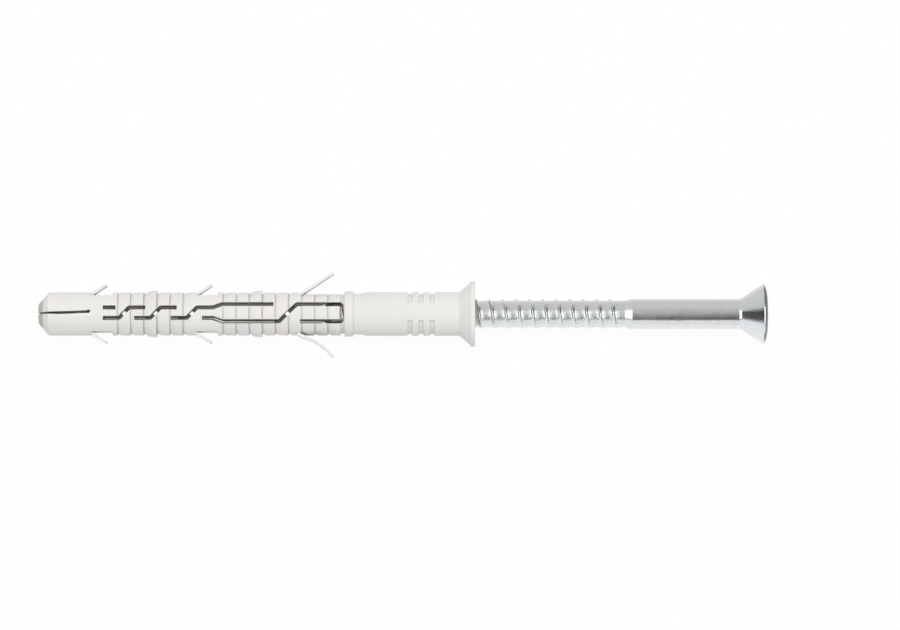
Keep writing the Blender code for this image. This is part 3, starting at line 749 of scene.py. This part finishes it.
def recess():
    """The recess: six round points joined by hollow sides, narrowing a little to a conical bottom."""
    centre_out = DRIVE_POINT_RADIUS - DRIVE_LOBE_RADIUS
    half = radians(30)
    # The hollow side is an arc that passes through the valley radius and touches both of its lobes.
    past_valley = centre_out * cos(half) - DRIVE_VALLEY_RADIUS
    side_radius = (((centre_out * sin(half)) ** 2 + past_valley ** 2 - DRIVE_LOBE_RADIUS ** 2)
                   / (2 * (DRIVE_LOBE_RADIUS - past_valley)))
    side_out = DRIVE_VALLEY_RADIUS + side_radius
    touch = atan2(centre_out * sin(half), side_out - centre_out * cos(half))
    points = []
    for lobe in range(6):
        middle = lobe * 2 * half
        lobe_place = Vector((centre_out * cos(middle), centre_out * sin(middle)))
        reach = half + touch
        for step in range(-LOBE_STEPS, LOBE_STEPS + 1):
            turn = middle + reach * step / LOBE_STEPS
            points.append(lobe_place + DRIVE_LOBE_RADIUS * Vector((cos(turn), sin(turn))))
        side_place = Vector((side_out * cos(middle + half), side_out * sin(middle + half)))
        for step in range(1 - LOBE_STEPS, LOBE_STEPS):
            turn = middle + half + pi + touch * -step / LOBE_STEPS
            points.append(side_place + side_radius * Vector((cos(turn), sin(turn))))
    bm = bmesh.new()
    rings = []
    for x, scale in ((HEAD_FACE_X + DRIVE_CONE_DEPTH, 1.0), (HEAD_FACE_X - DRIVE_DEPTH, DRIVE_DRAFT)):
        rings.append([bm.verts.new((x, scale * point.x, scale * point.y)) for point in points])
    for index, first in enumerate(rings[0]):
        after = (index + 1) % len(points)
        bm.faces.new((first, rings[0][after], rings[1][after], rings[1][index]))
    bm.faces.new(rings[0])
    bottom = bm.verts.new((HEAD_FACE_X - DRIVE_DEPTH - DRIVE_CONE_DEPTH, 0, 0))
    for index, vertex in enumerate(rings[1]):
        bm.faces.new((vertex, rings[1][(index + 1) % len(points)], bottom))
    return outward(from_bmesh("recess", bm))


def screw_head():
    """The plain shank and the countersunk head, with a flat round the recess and a crown out to its edge."""
    cone_top_x = HEAD_FACE_X - HEAD_CROWN_HEIGHT - HEAD_EDGE_RADIUS
    cone_foot_x = cone_top_x - (HEAD_RADIUS - SCREW_RADIUS) / tan(HEAD_HALF_ANGLE)
    fillet_x = cone_foot_x - HEAD_FILLET_RADIUS * tan(HEAD_HALF_ANGLE / 2)
    outline = [(SHANK_X, 0), (SHANK_X, SCREW_RADIUS - SHANK_CHAMFER * 2),
               (SHANK_X + SHANK_CHAMFER * 2, SCREW_RADIUS)]
    outline += arc((fillet_x, SCREW_RADIUS + HEAD_FILLET_RADIUS), HEAD_FILLET_RADIUS, -pi / 2,
                   -pi / 2 + HEAD_HALF_ANGLE)
    edge_place = (cone_top_x, HEAD_RADIUS - HEAD_EDGE_RADIUS)
    crown = HEAD_RADIUS - HEAD_EDGE_RADIUS - HEAD_FLAT_RADIUS
    outline += arc(edge_place, HEAD_EDGE_RADIUS, pi / 2, radians(20))
    edge_x, edge_radius = outline[-1]
    for step in range(1, ROUND_STEPS + 1):
        share = step / ROUND_STEPS
        outline.append((HEAD_FACE_X - (HEAD_FACE_X - edge_x) * (1 - share) ** 2,
                        edge_radius - (edge_radius - HEAD_FLAT_RADIUS) * share))
    outline.append((HEAD_FACE_X, 0))
    return worked(turned("screw_head", outline), [("DIFFERENCE", recess())])


# Materials


def put(tree, kind, inputs=None, output=0, **settings):
    """A shader node with its settings and inputs; gives the output that is asked for."""
    node = tree.nodes.new(kind)
    for setting, value in settings.items():
        setattr(node, setting, value)
    for socket, value in (inputs or {}).items():
        if isinstance(value, bpy.types.NodeSocket):
            tree.links.new(value, node.inputs[socket])
        else:
            node.inputs[socket].default_value = value
    return node.outputs[output]


def number(tree, operation, *values):
    return put(tree, "ShaderNodeMath", dict(enumerate(values)), operation=operation)


def ramp(tree, value, low, high, low_value=0.0, high_value=1.0):
    """A smooth step from one value to another."""
    return put(tree, "ShaderNodeMapRange", {
        "Value": value, "From Min": low, "From Max": high, "To Min": low_value, "To Max": high_value},
        interpolation_type="SMOOTHSTEP")


def fading(tree, value, low, high):
    """A mask that is 1 up to its first value and 0 from its second."""
    return ramp(tree, value, low, high, 1.0, 0.0)


def band(tree, value, low, low_end, high, high_end):
    """A mask that is 1 between its middle two values, with soft edges."""
    return number(tree, "MULTIPLY", ramp(tree, value, low, low_end), fading(tree, value, high, high_end))


def mixed(tree, share, first, second):
    return put(tree, "ShaderNodeMix", {0: share, 6: first, 7: second}, output=2, data_type="RGBA")


def uneven_surface():
    """A shader group for a fine uneven surface: a height for bump, a mask of specks and one of patches."""
    group = bpy.data.node_groups.new("uneven_surface", "ShaderNodeTree")
    for name, kind in (("Place", "NodeSocketVector"), ("Grain Size", "NodeSocketFloat"),
                       ("Patch Size", "NodeSocketFloat"), ("Speck Level", "NodeSocketFloat")):
        group.interface.new_socket(name, in_out="INPUT", socket_type=kind)
    for name in ("Height", "Specks", "Patches"):
        group.interface.new_socket(name, in_out="OUTPUT", socket_type="NodeSocketFloat")
    source = group.nodes.new("NodeGroupInput").outputs
    result = group.nodes.new("NodeGroupOutput")
    grain, patches = [
        put(group, "ShaderNodeTexNoise", {
            "Vector": source["Place"], "Scale": number(group, "DIVIDE", 1.0, source[size]), "Detail": detail})
        for size, detail in (("Grain Size", 3.0), ("Patch Size", 2.0))]
    level = source["Speck Level"]
    specks = ramp(group, grain, level, number(group, "ADD", level, 0.08))
    for name, value in (("Height", grain), ("Specks", specks), ("Patches", patches)):
        group.links.new(value, result.inputs[name])
    return group


class Finish:
    """A material under construction: a Principled shader, object coordinates and the uneven surface."""

    def __init__(self, name, group, grain_size, patch_size, speck_level):
        self.material = bpy.data.materials.new(name)
        self.material.use_nodes = True
        self.tree = self.material.node_tree
        self.shader = self.tree.nodes["Principled BSDF"]
        self.place = put(self.tree, "ShaderNodeTexCoord", output="Object")
        node = self.tree.nodes.new("ShaderNodeGroup")
        node.node_tree = group
        self.tree.links.new(self.place, node.inputs["Place"])
        for socket, value in (("Grain Size", grain_size), ("Patch Size", patch_size),
                              ("Speck Level", speck_level)):
            node.inputs[socket].default_value = value
        self.uneven = node.outputs

    def apart(self):
        """The place along and across the fixing's axis, as x, y and z from the axis."""
        centred = put(self.tree, "ShaderNodeMapping",
                      {"Vector": self.place, "Location": (0, -AXIS_PLACE.y, -AXIS_PLACE.z)})
        return put(self.tree, "ShaderNodeSeparateXYZ", {"Vector": centred}).node.outputs

    def radius(self):
        """The distance from the fixing's axis."""
        apart = self.apart()
        across = put(self.tree, "ShaderNodeCombineXYZ", {"Y": apart["Y"], "Z": apart["Z"]})
        return put(self.tree, "ShaderNodeVectorMath", {0: across}, output="Value", operation="LENGTH")

    def set(self, **values):
        for name, value in values.items():
            socket = self.shader.inputs[name.replace("_", " ")]
            if isinstance(value, bpy.types.NodeSocket):
                self.tree.links.new(value, socket)
            else:
                socket.default_value = value

    def raise_by(self, height, distance, edge_radius):
        """Bump of a real height in metres, over edges that are rounded a little."""
        rounded = put(self.tree, "ShaderNodeBevel", {"Radius": edge_radius}, samples=6)
        bump = put(self.tree, "ShaderNodeBump",
                   {"Height": height, "Distance": distance, "Strength": 1.0, "Normal": rounded})
        self.tree.links.new(bump, self.shader.inputs["Normal"])


def nylon_material(group):
    """Moulded nylon, off-white, faintly grained, with painted shade inside and in its crevices, and with the
    mould's parting line along both sides."""
    finish = Finish("nylon", group, NYLON_GRAIN, NYLON_PATCH, NYLON_SPECK_LEVEL)
    tree = finish.tree
    outside = mixed(tree, finish.uneven["Patches"], NYLON_DEEP, NYLON_PALE)
    # Painted shade: the colour darkens toward the axis, standing in for the shade that falls inside the bore
    # and slots.
    outside_of_painted_shade = ramp(tree, finish.radius(), WIDE_BORE_RADIUS + SLOT_WIDTH, RIB_FOOT - GROOVE_DEPTH)
    colour = mixed(tree, outside_of_painted_shade, NYLON_PAINTED_INSIDE_SHADE, outside)
    # Painted shade: ambient occlusion darkens the colour in crevices, standing in for the shade that falls
    # there.
    painted_shade_occlusion = put(tree, "ShaderNodeAmbientOcclusion", {"Distance": PAINTED_CREVICE_SHADE_REACH}, output="AO", samples=12)
    colour = mixed(tree, ramp(tree, painted_shade_occlusion, *PAINTED_CREVICE_SHADE_OPENNESS), NYLON_PAINTED_CREVICE_SHADE, colour)
    from_parting = number(tree, "ABSOLUTE", finish.apart()["Z"])
    parting = number(tree, "MULTIPLY", fading(tree, from_parting, *PARTING_EDGE), PARTING_HEIGHT)
    height = number(tree, "ADD", finish.uneven["Height"], parting)
    finish.set(Base_Color=colour, Roughness=ramp(tree, finish.uneven["Patches"], 0.3, 0.7, 0.42, 0.52),
               Specular_IOR_Level=0.4, Subsurface_Weight=0.12, Subsurface_Scale=0.0008)
    finish.raise_by(height, NYLON_RELIEF, SOFT_EDGE_RADIUS)
    return finish.material


def zinc_material(group, name, least_roughness, relief):
    """Bright zinc plate over cold-formed steel, finely speckled. The thread's is rougher than the shank's."""
    finish = Finish(name, group, ZINC_GRAIN, ZINC_PATCH, ZINC_SPECK_LEVEL)
    tree = finish.tree
    colour = mixed(tree, finish.uneven["Patches"], ZINC_DEEP, ZINC_PALE)
    specks = number(tree, "MULTIPLY", finish.uneven["Specks"], ZINC_SPECK_SHARE)
    rougher = number(tree, "MULTIPLY", finish.uneven["Patches"], ZINC_PATCH_ROUGHNESS)
    finish.set(Base_Color=mixed(tree, specks, colour, ZINC_SPECK), Metallic=1.0,
               Roughness=number(tree, "ADD", least_roughness, rougher))
    finish.raise_by(finish.uneven["Height"], relief, CRISP_EDGE_RADIUS)
    return finish.material


def turned_zinc_material(group):
    """The head's face, with the fine rings that turning leaves under the plating."""
    finish = Finish("turned_zinc", group, ZINC_GRAIN, FACE_PATCH, ZINC_SPECK_LEVEL)
    tree = finish.tree
    colour = mixed(tree, finish.uneven["Patches"], ZINC_DEEP, FACE_PALE)
    rings = put(tree, "ShaderNodeTexNoise", {
        "W": finish.radius(), "Scale": FACE_RINGS, "Detail": 2.0}, noise_dimensions="1D")
    height = number(tree, "ADD", rings, number(tree, "MULTIPLY", finish.uneven["Height"], 0.5))
    finish.set(Base_Color=colour, Metallic=1.0, Roughness=FACE_ROUGHNESS)
    finish.raise_by(height, FACE_RELIEF, SOFT_EDGE_RADIUS)
    return finish.material


# Pieces in place


def placed(obj, node, slot, *materials):
    """A finished piece: in its place, smooth where its faces turn little, with its materials, on the body."""
    mesh = obj.data
    mesh.transform(Matrix.Translation(AXIS_PLACE))
    mesh.materials.clear()
    for material in materials:
        mesh.materials.append(material)
    mesh.shade_smooth()
    mesh.set_sharp_from_angle(angle=SMOOTH_UNDER)
    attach(obj, "root")
    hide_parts(node)
    return obj


def give_face_finish(obj):
    """The second material on the head's face, inside its rounded edge and outside the recess."""
    face_x = AXIS_PLACE.x + HEAD_FACE_X - HEAD_CROWN_HEIGHT
    for face in obj.data.polygons:
        face.material_index = int(face.normal.x > 0.9 and face.center.x > face_x)


surface = uneven_surface()
nylon = nylon_material(surface)
zinc = zinc_material(surface, "bright_zinc", SHANK_ROUGHNESS, SHANK_RELIEF)
rolled_zinc = zinc_material(surface, "rolled_zinc", THREAD_ROUGHNESS, THREAD_RELIEF)
turned_zinc = turned_zinc_material(surface)
placed(plug_moulding(nylon), "plug", "nylon", nylon)
placed(screw_thread(rolled_zinc), "screw", "zinc_steel", rolled_zinc)
give_face_finish(placed(screw_head(), "screw", "zinc_steel", zinc, turned_zinc))


# Table, light and camera


def background_seen(tree):
    """1 for rays from the camera, and for those seen in a reflection or through something clear."""
    path = tree.nodes.new("ShaderNodeLightPath").outputs
    reflected = number(tree, "MAXIMUM", path["Is Glossy Ray"], path["Is Transmission Ray"])
    return path["Is Camera Ray"], reflected


def make_table():
    material = bpy.data.materials.new("white_table")
    material.use_nodes = True
    tree = material.node_tree
    tree.nodes.clear()
    camera, reflected = background_seen(tree)
    seen = number(tree, "MULTIPLY", number(tree, "MAXIMUM", camera, reflected), 1 - TABLE_SHADOW)
    matt = put(tree, "ShaderNodeBsdfDiffuse", {"Color": TABLE_COLOUR})
    place = put(tree, "ShaderNodeTexCoord", output="Object")
    place = put(tree, "ShaderNodeSeparateXYZ", {"Vector": place}).node.outputs
    far = ramp(tree, place["Y"], *TABLE_FAR_Y, 1.0, TABLE_FAR_SHADE)
    end = ramp(tree, place["X"], *TABLE_END_X, 1.0, TABLE_END_SHADE)
    strength = number(tree, "MAXIMUM", camera, number(tree, "MULTIPLY", far, end))
    white = put(tree, "ShaderNodeEmission", {"Color": WHITE, "Strength": strength})
    both = put(tree, "ShaderNodeMixShader", {0: seen, 1: matt, 2: white})
    tree.links.new(both, tree.nodes.new("ShaderNodeOutputMaterial").inputs["Surface"])
    bm = bmesh.new()
    bmesh.ops.create_circle(bm, cap_ends=True, segments=64, radius=TABLE_RADIUS,
                            matrix=Matrix.Translation((0, 0, -TABLE_GAP)))
    table = from_bmesh("white_table", bm)
    table.data.materials.append(material)


def slit_shades(tree, across):
    """The slit's own shades by angle: a pale wall, grey overhead, a dark strip and a bright side."""
    place = number(tree, "ADD", number(tree, "DIVIDE", across, 180.0), 0.5)
    shades = put(tree, "ShaderNodeValToRGB", {"Fac": place})
    stops = shades.node.color_ramp.elements
    for index, (turn, shade) in enumerate(SLIT_SHADES):
        place = turn / 180 + 0.5
        stop = stops[0] if index == 0 else stops.new(place)
        stop.position = place
        stop.color = (shade, shade, shade, 1)
    stops.remove(stops[len(SLIT_SHADES)])
    return shades


def tent_shades(tree):
    """What metal reflects: a pale tent with bright bars beside a slit round the camera, and with dark ends, so
    that the screw shows dark bands down its middle and dark lines on its thread."""
    direction = put(tree, "ShaderNodeTexCoord", output="Generated")
    parts = put(tree, "ShaderNodeSeparateXYZ", {"Vector": direction}).node.outputs
    along = number(tree, "DEGREES", number(tree, "ARCSINE", parts["X"]))
    upward = number(tree, "DEGREES", number(tree, "ARCTAN2", parts["Y"], parts["Z"]))
    across = number(tree, "MULTIPLY", upward, -1.0)
    aside = number(tree, "ABSOLUTE", along)
    toward_nose = number(tree, "MULTIPLY", along, -1.0)
    bars = number(tree, "MULTIPLY", fading(tree, aside, *BARS_ALONG), band(tree, across, *BARS_ACROSS))
    line = number(tree, "MULTIPLY", fading(tree, aside, *LINE_ALONG), band(tree, across, *LINE_ACROSS))
    corner = number(tree, "MULTIPLY", ramp(tree, along, *CORNER_ALONG), fading(tree, across, *CORNER_ACROSS))
    nose_end = number(tree, "MULTIPLY", ramp(tree, toward_nose, *NOSE_END_ALONG),
                      band(tree, across, *NOSE_END_ACROSS))
    ends = ramp(tree, aside, *ENDS_ALONG)
    tent = mixed(tree, ramp(tree, across, *TENT_CHANGE), TENT_UPPER, TENT_LOWER)
    tent = mixed(tree, bars, tent, BARS_SHADE)
    tent = mixed(tree, fading(tree, aside, *SLIT_ALONG), tent, slit_shades(tree, across))
    for share, shade in ((line, DARK_SHADE), (corner, DARK_SHADE), (ends, DARK_SHADE),
                         (nose_end, NOSE_END_SHADE)):
        tent = mixed(tree, share, tent, (shade, shade, shade, 1))
    return tent


def make_world():
    """Even white light on everything, white for the camera, and the light tent for what metal reflects."""
    world = bpy.data.worlds.new("light_tent")
    bpy.context.scene.world = world
    world.use_nodes = True
    tree = world.node_tree
    tree.nodes.clear()
    camera, reflected = background_seen(tree)
    seen_colour = mixed(tree, reflected, WHITE, tent_shades(tree))
    even = put(tree, "ShaderNodeBackground", {"Color": WHITE, "Strength": EVEN_LIGHT})
    seen = put(tree, "ShaderNodeBackground", {"Color": seen_colour, "Strength": 1.0})
    either = number(tree, "MAXIMUM", camera, reflected)
    both = put(tree, "ShaderNodeMixShader", {0: either, 1: even, 2: seen})
    tree.links.new(both, tree.nodes.new("ShaderNodeOutputWorld").inputs["Surface"])


def make_lamp(name, place, size, power):
    """A soft square lamp that faces the fixing. Metal doesn't show it."""
    light = bpy.data.lights.new(name, "AREA")
    light.size = size
    light.energy = power
    lamp = bpy.data.objects.new(name, light)
    lamp.location = place
    lamp.rotation_euler = (-Vector(place)).to_track_quat("-Z", "Y").to_euler()
    lamp.visible_glossy = False
    bpy.context.scene.collection.objects.link(lamp)


def make_camera():
    camera = bpy.data.cameras.new("camera")
    camera.lens = CAMERA_LENS * 1000
    camera.sensor_width = CAMERA_SENSOR * 1000
    distance = CAMERA_LENS / CAMERA_SENSOR * PHOTO_WIDTH / PHOTO_SCALE
    obj = bpy.data.objects.new("camera", camera)
    target = AXIS_PLACE + Vector((PHOTO_MIDDLE_X, PHOTO_MIDDLE_Y, 0))
    obj.location = target + distance * Vector((0, -cos(CAMERA_ELEVATION), sin(CAMERA_ELEVATION)))
    obj.rotation_euler = (pi / 2 - CAMERA_ELEVATION, 0, 0)
    bpy.context.scene.collection.objects.link(obj)
    bpy.context.scene.camera = obj


make_table()
make_world()
make_lamp("soft_box", LAMP_PLACE, LAMP_SIZE, LAMP_POWER)
make_camera()
bpy.context.scene.view_settings.view_transform = "Standard"
